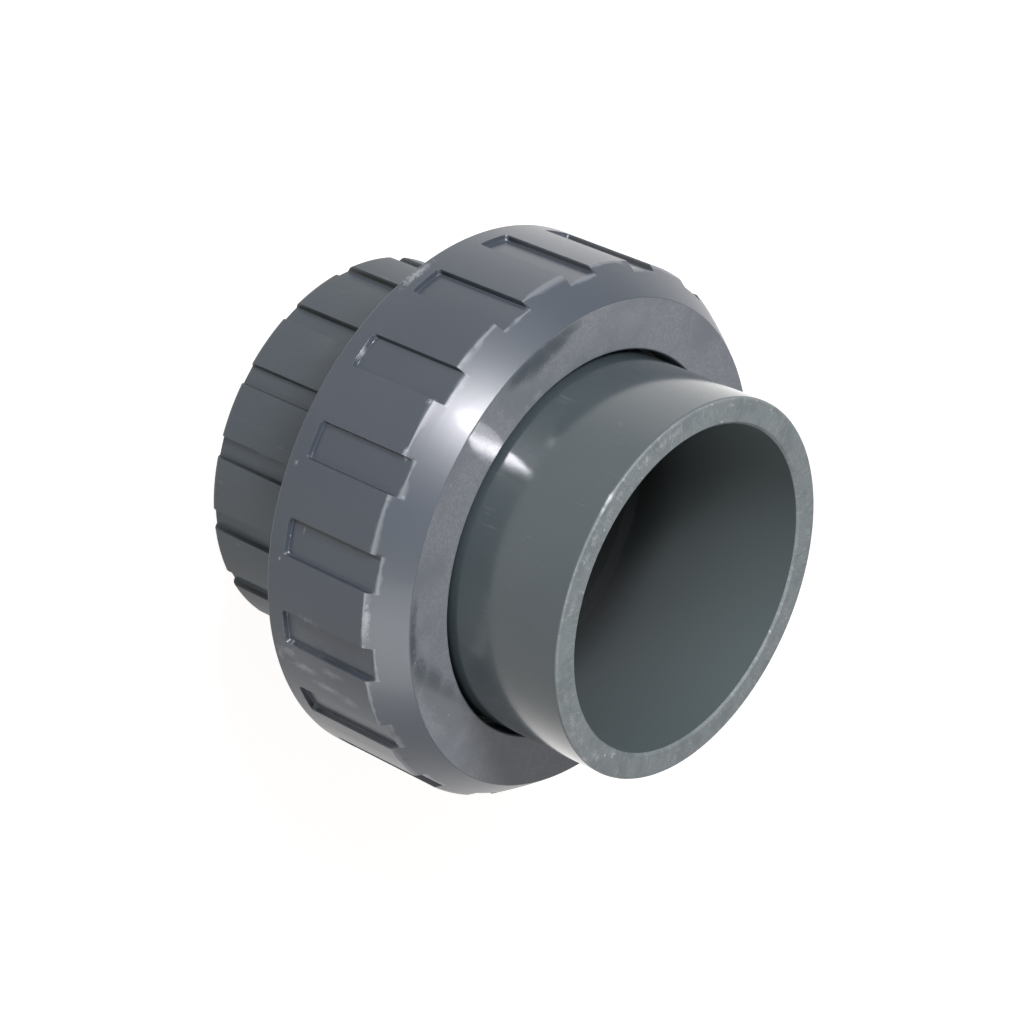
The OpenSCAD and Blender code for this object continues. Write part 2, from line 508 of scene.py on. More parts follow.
def painted(tree, colour, coats):
    """A colour under several coats (mask, colour), each laid over the last."""
    for mask, above in coats:
        colour = blend_colour(tree, mask, colour, above)
    return colour


def raised(tree, value, rises):
    """A value, with more of it by (mask, amount) where each mask is 1."""
    for mask, amount in rises:
        value = calc(tree, "MULTIPLY_ADD", mask, amount, value)
    return value


def noise(tree, place, scale, detail=3.0, roughness=0.55):
    inputs = {"Vector": place, "Scale": scale, "Detail": detail, "Roughness": roughness}
    return put(tree, "ShaderNodeTexNoise", inputs).outputs["Fac"]


def strongest(tree, masks):
    total = masks[0]
    for mask in masks[1:]:
        total = calc(tree, "MAXIMUM", total, mask)
    return total


def weighed(tree, pairs):
    """The strongest of several masks, each given as (mask, strength)."""
    return strongest(tree, [calc(tree, "MULTIPLY", mask, strength) for mask, strength in pairs])


def cloudy_share(tree, cloud, share, edge):
    """A mask of the places where a noise is high; they make up about the given share of a surface."""
    none_level = 0.72
    share_step = 0.5
    low = calc(tree, "SUBTRACT", none_level, calc(tree, "MULTIPLY", share, share_step))
    return span(tree, cloud, low, calc(tree, "ADD", low, edge))


def cloudy_places(tree, place, scale, share):
    """A soft mask that covers about the given share of a surface in cloudy patches."""
    return cloudy_share(tree, noise(tree, place, scale, roughness=0.6), share, edge=0.14)


def millimetres(tree):
    """The place on the piece, in the frame's millimetres."""
    return scaled(tree, put(tree, "ShaderNodeTexCoord").outputs["Object"], 1 / MM)


def from_axis(tree, along):
    """The distance from the union's axis, from the parts of a place."""
    flat = combine(tree, X=along["X"], Y=along["Y"])
    return vector_calc(tree, "LENGTH", flat, output="Value")


def turn_round_axis(tree, along):
    """The turn round the union's axis in radians, from the parts of a place."""
    return calc(tree, "ARCTAN2", along["Y"], along["X"])


def turn_from_pocket(tree, turn):
    """The turn in degrees from the middle of the nearest of the nut's pockets."""
    half_pitch = 180 / POCKET_COUNT
    return calc(tree, "WRAP", calc(tree, "SUBTRACT", turn, POCKET_TURN), half_pitch, -half_pitch)


def surface_normal(tree):
    return put(tree, "ShaderNodeTexCoord").outputs["Normal"]


def new_group(name, inputs, outputs):
    """An empty node group with named inputs and outputs; returns its tree, its inputs and its output node."""
    tree = bpy.data.node_groups.new(name, "ShaderNodeTree")
    for socket, default in inputs.items():
        kind = "NodeSocketColor" if isinstance(default, tuple) else "NodeSocketFloat"
        tree.interface.new_socket(socket, in_out="INPUT", socket_type=kind).default_value = default
    for socket in outputs:
        kind = "NodeSocketColor" if socket.endswith("Colour") else "NodeSocketFloat"
        tree.interface.new_socket(socket, in_out="OUTPUT", socket_type=kind)
    given = tree.nodes.new("NodeGroupInput").outputs
    return tree, given, tree.nodes.new("NodeGroupOutput")


def make_placed_patch():
    """A ragged patch at one place of a round piece, given by its turn, radius and height: wear, and also
    painted shade and painted highlights.
    """
    inputs = {"Turn": 0.0, "Radius": 50.0, "Height": 0.0, "Half Width": 2.0, "Half Depth": 2.0,
              "Half Height": 2.0, "Raggedness": 2.5, "Grain": 1.2, "Softness": 1.0}
    tree, given, out = new_group("placed_patch", inputs, ["Mask"])
    place = millimetres(tree)
    unturn = calc(tree, "RADIANS", calc(tree, "MULTIPLY", given["Turn"], -1.0))
    turning = {"Vector": place, "Angle": unturn}
    turned_back = put(tree, "ShaderNodeVectorRotate", turning, rotation_type="Z_AXIS").outputs[0]
    middle = combine(tree, X=given["Radius"], Z=given["Height"])
    offset = vector_calc(tree, "SUBTRACT", turned_back, middle)
    halves = combine(tree, X=given["Half Depth"], Y=given["Half Width"], Z=given["Half Height"])
    reach = vector_calc(tree, "LENGTH", vector_calc(tree, "DIVIDE", offset, halves), output="Value")
    grain = noise(tree, place, given["Grain"], detail=5.0, roughness=0.75)
    ragged = calc(tree, "SUBTRACT", grain, NOISE_MIDDLE)
    level = calc(tree, "MULTIPLY_ADD", ragged, given["Raggedness"], calc(tree, "SUBTRACT", 1.0, reach))
    tree.links.new(span(tree, level, 0.0, given["Softness"]), out.inputs["Mask"])
    return tree


def scattered_cells(tree, place):
    """Cells scattered over a place: the distance from a cell's middle and its own two draws from 0 to 1."""
    cell = put(tree, "ShaderNodeTexVoronoi", {"Vector": place, "Scale": 1.0, "Randomness": 1.0}).outputs
    draws = put(tree, "ShaderNodeSeparateColor", {"Color": cell["Color"]}).outputs
    return cell["Distance"], draws["Red"], draws["Green"]


def make_dust():
    """Small pale specks, scattered unevenly."""
    tree, given, out = new_group("dust_specks", {"Spacing": 4.0, "Share": 0.4, "Size": 0.18}, ["Mask"])
    least_size = 0.3
    core = 0.5
    near = scaled(tree, millimetres(tree), calc(tree, "DIVIDE", 1.0, given["Spacing"]))
    distance, draw, size_draw = scattered_cells(tree, near)
    away = calc(tree, "MULTIPLY", distance, given["Spacing"])
    size = calc(tree, "MULTIPLY", given["Size"], calc(tree, "ADD", size_draw, least_size))
    dot = span(tree, away, size, calc(tree, "MULTIPLY", size, core))
    chosen = calc(tree, "LESS_THAN", draw, given["Share"])
    tree.links.new(calc(tree, "MULTIPLY", dot, chosen), out.inputs["Mask"])
    return tree


def make_haze():
    """Uneven pale haze of a rubbed matt surface, broken up by a fine grain."""
    inputs = {"Cloud": 0.12, "Grain": 2.2, "Cover": 0.5}
    tree, given, out = new_group("rubbed_haze", inputs, ["Mask", "Grain"])
    grain_low = 0.3
    grain_high = 0.72
    place = millimetres(tree)
    cloud = noise(tree, place, given["Cloud"], roughness=0.6)
    grain = noise(tree, place, given["Grain"], detail=4.0, roughness=0.75)
    cover = cloudy_share(tree, cloud, given["Cover"], edge=0.22)
    broken = calc(tree, "MULTIPLY", cover, span(tree, grain, grain_low, grain_high))
    tree.links.new(broken, out.inputs["Mask"])
    tree.links.new(grain, out.inputs["Grain"])
    return tree


def make_scratches():
    """Fine straight scratches in three directions, each a thin level line of a stretched noise."""
    tree, given, out = new_group("fine_scratches", {"Spacing": 5.0, "Share": 0.5}, ["Mask"])
    line_scale = 1.6
    line_edge = 0.006
    line_core = 0.001
    place = millimetres(tree)
    per_spacing = calc(tree, "DIVIDE", 1.0, given["Spacing"])
    line_masks = []
    for lean, turn, stretch in ((0.5, 0.3, 40.0), (1.3, 1.9, 60.0), (-0.6, 2.6, 50.0)):
        settings = {"Vector": place, "Rotation": (lean, turn, turn), "Scale": (1, 1, 1 / stretch)}
        near = scaled(tree, put(tree, "ShaderNodeMapping", settings).outputs[0], per_spacing)
        off_line = calc(tree, "SUBTRACT", noise(tree, near, line_scale, detail=0.0), NOISE_MIDDLE)
        line = span(tree, calc(tree, "ABSOLUTE", off_line), line_edge, line_core)
        patch_scale = 0.21 + 0.04 * lean
        patches = cloudy_places(tree, place, patch_scale, given["Share"])
        line_masks.append(calc(tree, "MULTIPLY", line, patches))
    tree.links.new(strongest(tree, line_masks), out.inputs["Mask"])
    return tree


def make_moulded_skin():
    """Slow drifts of tone and a faint orange peel of moulded plastic."""
    grey = (0.1, 0.1, 0.1, 1.0)
    inputs = {"Colour": grey, "Other Colour": grey, "Drift": 0.05, "Peel": 0.7}
    tree, given, out = new_group("moulded_skin", inputs, ["Skin Colour", "Height"])
    drift_low = 0.35
    drift_high = 0.65
    place = millimetres(tree)
    drift = span(tree, noise(tree, place, given["Drift"], detail=2.0), drift_low, drift_high)
    skin_colour = blend_colour(tree, drift, given["Colour"], given["Other Colour"])
    tree.links.new(skin_colour, out.inputs["Skin Colour"])
    tree.links.new(noise(tree, place, given["Peel"], detail=2.0), out.inputs["Height"])
    return tree


def make_within():
    """A mask of what lies nearer the axis than a radius."""
    tree, given, out = new_group("within_radius", {"Radius": 34.0}, ["Mask"])
    away = from_axis(tree, separate(tree, millimetres(tree)))
    tree.links.new(calc(tree, "LESS_THAN", away, given["Radius"]), out.inputs["Mask"])
    return tree


def make_depth():
    """How far a point has come along the axis between two heights."""
    tree, given, out = new_group("height_share", {"Low": 0.0, "High": 1.0}, ["Share"])
    height = separate(tree, millimetres(tree))["Z"]
    tree.links.new(span(tree, height, given["Low"], given["High"]), out.inputs["Share"])
    return tree


def make_wall_shade():
    """Painted shade at the foot of a recess's side walls, below a radius; one of the two walls holds more of
    it.
    """
    tree, given, out = new_group("recess_wall_shade", {"Other Side": 0.4, "Radius": 52.0}, ["Mask"])
    wall_facing = (0.75, 0.97)
    fade = 0.35
    along = separate(tree, millimetres(tree))
    outward = vector_calc(tree, "NORMALIZE", combine(tree, X=along["X"], Y=along["Y"]))
    sideways = vector_calc(tree, "CROSS_PRODUCT", combine(tree, Z=1.0), outward)
    facing = vector_calc(tree, "DOT_PRODUCT", surface_normal(tree), sideways, output="Value")
    other_facing = calc(tree, "MULTIPLY", facing, -1.0)
    main_wall = span(tree, facing, *wall_facing)
    other_wall = calc(tree, "MULTIPLY", span(tree, other_facing, *wall_facing), given["Other Side"])
    either_wall = calc(tree, "MAXIMUM", main_wall, other_wall)
    full_below = calc(tree, "SUBTRACT", given["Radius"], fade)
    at_foot = span(tree, from_axis(tree, along), given["Radius"], full_below)
    tree.links.new(calc(tree, "MULTIPLY", either_wall, at_foot), out.inputs["Mask"])
    return tree


def make_pocket_shadow_line():
    """A painted shadow: a dark line on the floor of a nut's pocket, along the wall at its lower turn."""
    tree, given, out = new_group("pocket_shadow_line", {"Width": 0.5}, ["Mask"])
    narrow_turn = -115
    wide_turn = -60
    narrow_width = 0.3
    full_turn = -78
    gone_turn = -70
    overlap = 0.2
    fade = 0.35
    floor_r = NUT_R - POCKET_DEPTH
    along = separate(tree, millimetres(tree))
    turn = calc(tree, "DEGREES", turn_round_axis(tree, along))
    from_middle = calc(tree, "RADIANS", turn_from_pocket(tree, turn))
    across = calc(tree, "MULTIPLY", calc(tree, "SINE", from_middle), floor_r)
    from_wall = calc(tree, "ADD", across, POCKET_WIDTH / 2)
    on_floor = calc(tree, "LESS_THAN", from_axis(tree, along), NUT_R - POCKET_DEPTH / 2)
    beside_wall = calc(tree, "MULTIPLY", calc(tree, "GREATER_THAN", from_wall, -overlap), on_floor)
    above_back = calc(tree, "GREATER_THAN", along["Z"], POCKET_Z - overlap)
    below_slope = calc(tree, "LESS_THAN", along["Z"], POCKET_END_Z)
    in_height = calc(tree, "MULTIPLY", above_back, below_slope)
    width = span(tree, turn, narrow_turn, wide_turn, narrow_width, given["Width"])
    near_wall = span(tree, from_wall, width, calc(tree, "SUBTRACT", width, fade))
    line = calc(tree, "MULTIPLY", calc(tree, "MULTIPLY", near_wall, beside_wall), in_height)
    shown = span(tree, turn, gone_turn, full_turn)
    tree.links.new(calc(tree, "MULTIPLY", line, shown), out.inputs["Mask"])
    return tree


def make_cut_marks():
    """Short pale strokes across the mouth's ring, along the radius, as a cutter leaves them."""
    inputs = {"Radius": 34.0, "Width": 0.7, "Length": 2.4, "Share": 0.3}
    tree, given, out = new_group("cut_marks", inputs, ["Mask"])
    stroke_edge = 0.5
    stroke_core = 0.2
    along = separate(tree, millimetres(tree))
    round_the_ring = calc(tree, "MULTIPLY", turn_round_axis(tree, along), given["Radius"])
    widths = calc(tree, "DIVIDE", round_the_ring, given["Width"])
    lengths = calc(tree, "DIVIDE", from_axis(tree, along), given["Length"])
    distance, draw, _ = scattered_cells(tree, combine(tree, X=widths, Y=lengths))
    chosen = calc(tree, "LESS_THAN", draw, given["Share"])
    stroke = span(tree, distance, stroke_edge, stroke_core)
    tree.links.new(calc(tree, "MULTIPLY", stroke, chosen), out.inputs["Mask"])
    return tree


def make_edge_wear():
    """A soft pale line round the nut where its wall and its pockets end in the slope."""
    inputs = {"Height": 50.0, "Pocket Height": 51.0, "Half Width": 0.4, "Share": 0.5}
    tree, given, out = new_group("edge_wear", inputs, ["Mask"])
    thinnest = 0.4
    thickest = 1.7
    swell_low = 0.38
    swell_high = 0.66
    swell_scale = 0.16
    patch_scale = 0.12
    place = millimetres(tree)
    along = separate(tree, place)
    turn = calc(tree, "DEGREES", turn_round_axis(tree, along))
    pocket_half = math.degrees(math.asin(POCKET_WIDTH / 2 / NUT_R))
    in_pocket = calc(tree, "LESS_THAN", calc(tree, "ABSOLUTE", turn_from_pocket(tree, turn)), pocket_half)
    rise = calc(tree, "SUBTRACT", given["Pocket Height"], given["Height"])
    edge_height = calc(tree, "MULTIPLY_ADD", in_pocket, rise, given["Height"])
    off = calc(tree, "ABSOLUTE", calc(tree, "SUBTRACT", along["Z"], edge_height))
    swell_noise = noise(tree, place, swell_scale, roughness=0.6)
    swell = span(tree, swell_noise, swell_low, swell_high, thinnest, thickest)
    half_width = calc(tree, "MULTIPLY", given["Half Width"], swell)
    line = span(tree, off, half_width, 0.0)
    patches = cloudy_places(tree, place, patch_scale, given["Share"])
    tree.links.new(calc(tree, "MULTIPLY", line, patches), out.inputs["Mask"])
    return tree


def make_facing():
    """How far a surface faces along the axis: 1 on a flat front, 0.56 on the nut's slope, 0 on a wall."""
    tree, given, out = new_group("facing_front", {}, ["Front"])
    tree.links.new(separate(tree, surface_normal(tree))["Z"], out.inputs["Front"])
    return tree


def use(tree, group, **inputs):
    """Places a group in a material with its own values; a value's name is the socket's, in small letters."""
    node = put(tree, "ShaderNodeGroup", node_tree=group)
    for name, value in inputs.items():
        feed(tree, node.inputs[name.replace("_", " ").title()], value)
    return node.outputs


PLACED_PATCH = make_placed_patch()
DUST = make_dust()
HAZE = make_haze()
SCRATCHES = make_scratches()
SKIN = make_moulded_skin()
FACING = make_facing()
EDGE_WEAR = make_edge_wear()
RECESS_WALL_SHADE = make_wall_shade()
POCKET_SHADOW_LINE = make_pocket_shadow_line()
CUT_MARKS = make_cut_marks()
WITHIN = make_within()
DEPTH = make_depth()

# Colours, linear, as red, green, blue and alpha; the tones of a moulded skin are its two colours
PALE_WEAR = (0.50, 0.52, 0.55, 1)
BUSH_TONES = {"colour": (0.052, 0.066, 0.079, 1), "other_colour": (0.061, 0.075, 0.087, 1)}
# Painted shade for the bush's grooves and for the nut's shadow on the barrel
BUSH_PAINTED_SHADE = (0.014, 0.014, 0.010, 1)
TAIL_TONES = {"colour": (0.066, 0.085, 0.096, 1), "other_colour": (0.072, 0.091, 0.099, 1)}
# The bore's colours: darker with depth and darkest at the stop, a painted shade
BORE_DEEP_PAINTED_SHADE = (0.045, 0.056, 0.059, 1)
BORE_FRONT = (0.105, 0.130, 0.135, 1)
STOP_PAINTED_SHADE = (0.010, 0.013, 0.014, 1)
MOUTH_CUT = (0.190, 0.218, 0.226, 1)
MOUTH_RUBBED = (0.30, 0.33, 0.34, 1)
MOUTH_TOOLED = (0.50, 0.52, 0.54, 1)
MOUTH_STROKE = (0.70, 0.72, 0.74, 1)
# Painted highlight and pale bruise on the mouth's rim
RIM_GLINT_AND_BRUISE = (0.66, 0.68, 0.71, 1)
NUT_TONES = {"colour": (0.056, 0.068, 0.089, 1), "other_colour": (0.064, 0.077, 0.099, 1)}
# Painted shade for the nut's pockets
NUT_PAINTED_SHADE = (0.010, 0.012, 0.015, 1)
RING_SMOOTH = (0.084, 0.098, 0.114, 1)
RING_MATT = (0.176, 0.185, 0.208, 1)
RING_RUBBED = (0.265, 0.272, 0.297, 1)
RING_SPECK = (0.68, 0.70, 0.74, 1)
RUBBER_TONES = {"colour": (0.010, 0.010, 0.011, 1), "other_colour": (0.018, 0.018, 0.019, 1)}
RUBBER_BLOOM = (0.3, 0.3, 0.3, 1)

# Reliefs, in millimetres
BUSH_PEEL = 0.02
TAIL_PEEL = 0.004
MOUTH_GRAIN = 0.12
NUT_PEEL = 0.006
RING_GRAIN = 0.009
RUBBER_PEEL = 0.01

# Gloss: the roughness of each surface, and how much rougher some places of it are
MOULDED_IOR = 1.58
BUSH_ROUGHNESS = 0.45
BUSH_HAZE_ROUGHER = 0.15
TAIL_ROUGHNESS = 0.14
RIM_ROUGHNESS = 0.42
BORE_ROUGHER = 0.36
DEEP_BORE_ROUGHER = 0.45
NUT_ROUGHNESS = 0.28
RING_ROUGHER = -0.14
SLOPE_ROUGHER = 0.11
RUBBED_RING_ROUGHER = 0.3
RUBBER_ROUGHNESS = 0.6
BLOOM_ROUGHER = 0.2
TAIL_COAT = 0.42
TAIL_COAT_ROUGHNESS = 0.16
SLOPE_COAT = 0.1
RING_COAT_ROUGHNESS = 0.12

# How far each surface faces along the axis, from where its mask starts to where it is full
MOUTH_FACING = (0.45, 0.65)
RIM_FACING = (0.1, 0.4)
RING_FACING = (0.9, 0.98)
SLOPE_FACING = (0.35, 0.5)


def new_material(name):
    """A material with only its output and a Principled shader; returns it, its tree and the shader."""
    material = bpy.data.materials.new(name)
    material.use_nodes = True
    return material, material.node_tree, material.node_tree.nodes["Principled BSDF"]


def dress(tree, shader, colour, roughness, height):
    """Joins a finished colour, roughness and relief in millimetres to the shader."""
    tree.links.new(colour, shader.inputs["Base Color"])
    tree.links.new(roughness, shader.inputs["Roughness"])
    relief = put(tree, "ShaderNodeBump", {"Height": height, "Strength": 1.0, "Distance": MM})
    tree.links.new(relief.outputs[0], shader.inputs["Normal"])


def polish(tree, shader, weight, roughness):
    """Lays a sharper gloss over the shader, where the mask of its weight says."""
    tree.links.new(weight, shader.inputs["Coat Weight"])
    shader.inputs["Coat Roughness"].default_value = roughness


def placed_patches(tree, places, **edge):
    """The strongest of several patches, from the rows of a table of marks."""
    pairs = []
    for turn, radius, height, half_width, half_depth, half_height, strength in places:
        sizes = {"half_width": half_width, "half_depth": half_depth, "half_height": half_height}
        patch = use(tree, PLACED_PATCH, turn=turn, radius=radius, height=height, **sizes, **edge)["Mask"]
        pairs.append((patch, strength))
    return weighed(tree, pairs)


def bush_plastic():
    """Satin grey of the ribbed bush, with painted shade in its grooves and a painted shadow below the nut."""
    material, tree, shader = new_material("bush_plastic")
    shader.inputs["IOR"].default_value = MOULDED_IOR
    shade_r = BARREL_R - 0.25
    shade_low = NUT_BACK_Z - 6.5
    shade_high = NUT_BACK_Z - 1
    moulded = use(tree, SKIN, drift=0.04, peel=0.9, **BUSH_TONES)
    dust = use(tree, DUST, spacing=6.0, share=0.3, size=0.2)["Mask"]
    haze = use(tree, HAZE, cloud=0.06, grain=1.6, cover=0.3)["Mask"]
    scratch = use(tree, SCRATCHES, spacing=7.0, share=0.4)["Mask"]
    wear = weighed(tree, [(haze, 0.08), (dust, 0.4), (scratch, 0.1)])
    # Painted shade at the foot of the grooves' walls, and a painted shadow of the nut on the barrel just
    # below its back
    groove_shade = use(tree, RECESS_WALL_SHADE, other_side=0.7, radius=shade_r)["Mask"]
    nut_shadow = use(tree, DEPTH, low=shade_low, high=shade_high)["Share"]
    painted_shade = weighed(tree, [(groove_shade, 0.9), (nut_shadow, 0.2)])
    colour = painted(tree, moulded["Skin Colour"], [(painted_shade, BUSH_PAINTED_SHADE), (wear, PALE_WEAR)])
    roughness = raised(tree, BUSH_ROUGHNESS, [(haze, BUSH_HAZE_ROUGHER)])
    dress(tree, shader, colour, roughness, calc(tree, "MULTIPLY", moulded["Height"], BUSH_PEEL))
    return material


# Marks on the tail and the nut, in rows: turn, radius, height, half width, half depth, half height, strength
MOUTH_TOOL_MARKS = [
    (210.0, 34.6, 85.4, 2.2, 1.0, 1, 0.5),
    (216.0, 34.6, 85.4, 2.4, 0.9, 1, 0.6),
    (223.0, 34.8, 85.4, 1.8, 0.8, 1, 0.5),
    (235.5, 34.9, 85.4, 1.8, 0.9, 1, 0.7),
    (242.0, 34.6, 85.4, 1.4, 0.9, 1, 0.6),
    (251.5, 34.8, 85.4, 1.6, 0.9, 1, 0.5),
    (256.5, 34.6, 85.4, 1.5, 0.8, 1, 0.5),
    (270.0, 34.4, 85.4, 3.0, 0.8, 1, 0.4),
    (302.0, 34.8, 85.4, 2.2, 0.9, 1, 0.5),
    (311.0, 34.6, 85.4, 2.4, 0.9, 1, 0.6),
    (321.0, 34.8, 85.4, 2.0, 0.9, 1, 0.5),
    (332.0, 34.6, 85.4, 2.4, 0.9, 1, 0.5),
    (184.0, 35.4, 85.4, 1.6, 0.7, 1, 0.6),
]
# On the mouth's rim; the rows at turns 239.4 and 243 are a painted highlight on its outer edge
MOUTH_RIM_GLINT_AND_BRUISES = [
    (239.4, 36.5, 85.2, 1.8, 0.45, 0.6, 1),
    (243.0, 36.5, 85.2, 1.2, 0.35, 0.6, 0.7),
    (328.0, 36.4, 85.2, 1.4, 0.35, 0.6, 0.6),
]
# Wear on the nut's pads; the row at turn 236.6 and height 33.75 is a painted highlight along a pocket's back
# wall
NUT_PAD_WEAR_AND_GLINT = [
    (285.3, 52, 54.2, 4.8, 4, 0.9, 0.5),
    (240.3, 52, 53.1, 1.2, 4, 0.9, 0.6),
    (251.4, 52, 53.5, 1.6, 4, 0.6, 0.6),
    (259.3, 51, 55.9, 0.6, 4, 0.6, 0.5),
    (260.5, 52, 53.8, 0.8, 4, 0.6, 0.5),
    (215.4, 52, 31.2, 5.0, 4, 1.2, 0.6),
    (236.6, 52, 33.75, 1.6, 4, 0.25, 0.8),
    (261.4, 52, 31.9, 0.6, 4, 0.5, 0.5),
    (280.9, 52.5, 32.8, 0.45, 4, 0.45, 0.6),
    (273.5, 52.5, 36.8, 1.1, 4, 0.3, 0.4),
    (301.0, 52.5, 38.0, 8.0, 4, 9.0, 0.08),
    (302.0, 52.5, 34.0, 1.6, 4, 3.5, 0.3),
    (304.5, 52.5, 37.5, 1.4, 4, 4.0, 0.4),
    (307.5, 52.5, 42.0, 1.3, 4, 4.5, 0.4),
    (302.5, 52.5, 44.5, 1.2, 4, 4.0, 0.25),
    (308.5, 52.5, 47.5, 1.6, 4, 3.0, 0.25),
    (303.4, 52.5, 31.5, 2.2, 4, 1.0, 0.35),
    (292.0, 52.0, 40.0, 1.2, 4, 3.0, 0.2),
    (299.5, 52.5, 34.9, 0.4, 4, 0.4, 0.6),
    (304.0, 52.5, 37.8, 0.4, 4, 0.4, 0.6),
]
# Painted shade: dark patches in the pockets on the nut's lower side, where light does not reach
NUT_PAD_PAINTED_SHADE = [
    (324.2, 52.0, 45.0, 1.2, 4, 13.0, 0.9),
    (321.0, 52.0, 33.9, 3.6, 4, 0.5, 0.8),
    (344.2, 52.0, 45.0, 0.9, 4, 12.0, 0.8),
]
NUT_FRONT_CLOUDS = [
    (243.0, 44.0, 60.7, 2.2, 2.0, 2, 0.5),
    (221.5, 39.0, 60.7, 1.6, 1.4, 2, 0.8),
    (226.0, 38.9, 60.7, 1.0, 1.0, 2, 0.7),
    (196.0, 39.4, 60.7, 3.0, 1.6, 2, 0.6),
    (293.6, 43.8, 60.7, 5.5, 3.5, 2, 0.7),
    (284.9, 45.1, 60.7, 4.5, 2.5, 2, 0.6),
    (185.5, 43.9, 60.7, 7.0, 4.0, 2, 0.6),
    (202.0, 42.0, 60.7, 7.0, 3.5, 2, 0.5),
    (212.0, 39.3, 60.7, 5.0, 1.8, 2, 0.5),
]
NUT_FRONT_SMOOTH = [
    (207.5, 46.6, 60.7, 5.0, 1.8, 2, 1),
    (212.5, 45.9, 60.7, 7.0, 2.8, 2, 1),
    (218.0, 45.6, 60.7, 7.5, 3.3, 2, 1),
    (223.0, 46.2, 60.7, 6.0, 2.4, 2, 1),
    (284.5, 46.8, 60.7, 5.0, 1.3, 2, 1),
    (292.0, 46.9, 60.7, 6.0, 1.6, 2, 1),
    (299.0, 45.6, 60.7, 6.0, 2.7, 2, 1),
    (306.0, 43.6, 60.7, 7.0, 3.9, 2, 1),
    (313.0, 42.0, 60.7, 7.5, 4.4, 2, 1),
    (320.0, 41.5, 60.7, 5.0, 4.2, 2, 1),
]
NUT_FRONT_STRIP = [
    (240.9, 42.3, 60.7, 3.2, 9.0, 2, 1),
]


def tail_plastic():
    """Smooth glossy tail with a green cast, its matt bore painted darker with depth as shade, and its lighter
    rough mouth with a painted highlight on the rim.
    """
    material, tree, shader = new_material("tail_plastic")
    mouth_low = MOUTH_Z - 1.2
    mouth_high = MOUTH_Z - 0.6
    stop_z = MOUTH_Z - SOCKET_DEPTH
    stop_shade_high = stop_z + 12
    wall_middle_r = (SOCKET_R + TAIL_R) / 2
    plain_strokes = 0.12
    tooled_strokes = 0.6
    front = use(tree, FACING)["Front"]
    at_mouth = use(tree, DEPTH, low=mouth_low, high=mouth_high)["Share"]
    cut_face = calc(tree, "MULTIPLY", span(tree, front, *MOUTH_FACING), at_mouth)
    worn_rim = calc(tree, "MULTIPLY", span(tree, front, *RIM_FACING), at_mouth)
    bore = use(tree, WITHIN, radius=wall_middle_r)["Mask"]
    inner = calc(tree, "SUBTRACT", bore, cut_face, clamp=True)
    outside = calc(tree, "SUBTRACT", 1.0, inner)
    moulded = use(tree, SKIN, drift=0.03, peel=0.25, **TAIL_TONES)
    dust = use(tree, DUST, spacing=5.0, share=0.4, size=0.16)["Mask"]
    scratch = use(tree, SCRATCHES, spacing=8.0, share=0.35)["Mask"]
    wear = calc(tree, "MULTIPLY", weighed(tree, [(dust, 0.5), (scratch, 0.1)]), outside)

    # Painted shade: the bore darkens with depth, and more near the stop
    depth = use(tree, DEPTH, low=stop_z - 1, high=MOUTH_Z)["Share"]
    above_stop = use(tree, DEPTH, low=stop_z, high=stop_shade_high)["Share"]
    bore_colour = blend_colour(tree, depth, BORE_DEEP_PAINTED_SHADE, BORE_FRONT)
    bore_colour = blend_colour(tree, above_stop, STOP_PAINTED_SHADE, bore_colour)

    rough = use(tree, HAZE, cloud=0.25, grain=4.5, cover=0.75)
    tooled = placed_patches(tree, MOUTH_TOOL_MARKS, grain=2.2, raggedness=5.0)
    mouth_specks = use(tree, DUST, spacing=1.9, share=0.4, size=0.36)["Mask"]
    mouth_scratch = use(tree, SCRATCHES, spacing=3.0, share=0.7)["Mask"]
    nicks = weighed(tree, [(mouth_specks, 0.75), (mouth_scratch, 0.6)])
    strokes = use(tree, CUT_MARKS, width=0.8, length=2.2, share=0.55)["Mask"]
    strokes = calc(tree, "MULTIPLY", strokes, raised(tree, plain_strokes, [(tooled, tooled_strokes)]))
    # Partly a painted highlight on the rim's outer edge
    glint_and_bruise = placed_patches(tree, MOUTH_RIM_GLINT_AND_BRUISES, grain=2.6, raggedness=1.6, softness=0.9)
    mouth_colour = painted(tree, MOUTH_CUT, [
        (rough["Mask"], MOUTH_RUBBED),
        (tooled, MOUTH_TOOLED),
        (nicks, PALE_WEAR),
        (strokes, MOUTH_STROKE),
    ])
    colour = painted(tree, moulded["Skin Colour"], [
        (wear, PALE_WEAR),
        (inner, bore_colour),
        (cut_face, mouth_colour),
        (glint_and_bruise, RIM_GLINT_AND_BRUISE),
    ])

    not_polished = strongest(tree, [cut_face, worn_rim])
    roughness = span(tree, not_polished, 0.0, 1.0, TAIL_ROUGHNESS, RIM_ROUGHNESS)
    deep = calc(tree, "MULTIPLY", inner, calc(tree, "SUBTRACT", 1.0, depth))
    roughness = raised(tree, roughness, [(inner, BORE_ROUGHER), (deep, DEEP_BORE_ROUGHER)])
    mouth_grain = calc(tree, "ADD", strongest(tree, [tooled, nicks, strokes]), rough["Grain"])
    mouth_relief = calc(tree, "MULTIPLY", calc(tree, "MULTIPLY", mouth_grain, cut_face), MOUTH_GRAIN)
    dress(tree, shader, colour, roughness, raised(tree, mouth_relief, [(moulded["Height"], TAIL_PEEL)]))
    barrel = calc(tree, "SUBTRACT", outside, cut_face, clamp=True)
    polish(tree, shader, calc(tree, "MULTIPLY", barrel, TAIL_COAT), TAIL_COAT_ROUGHNESS)
    return material


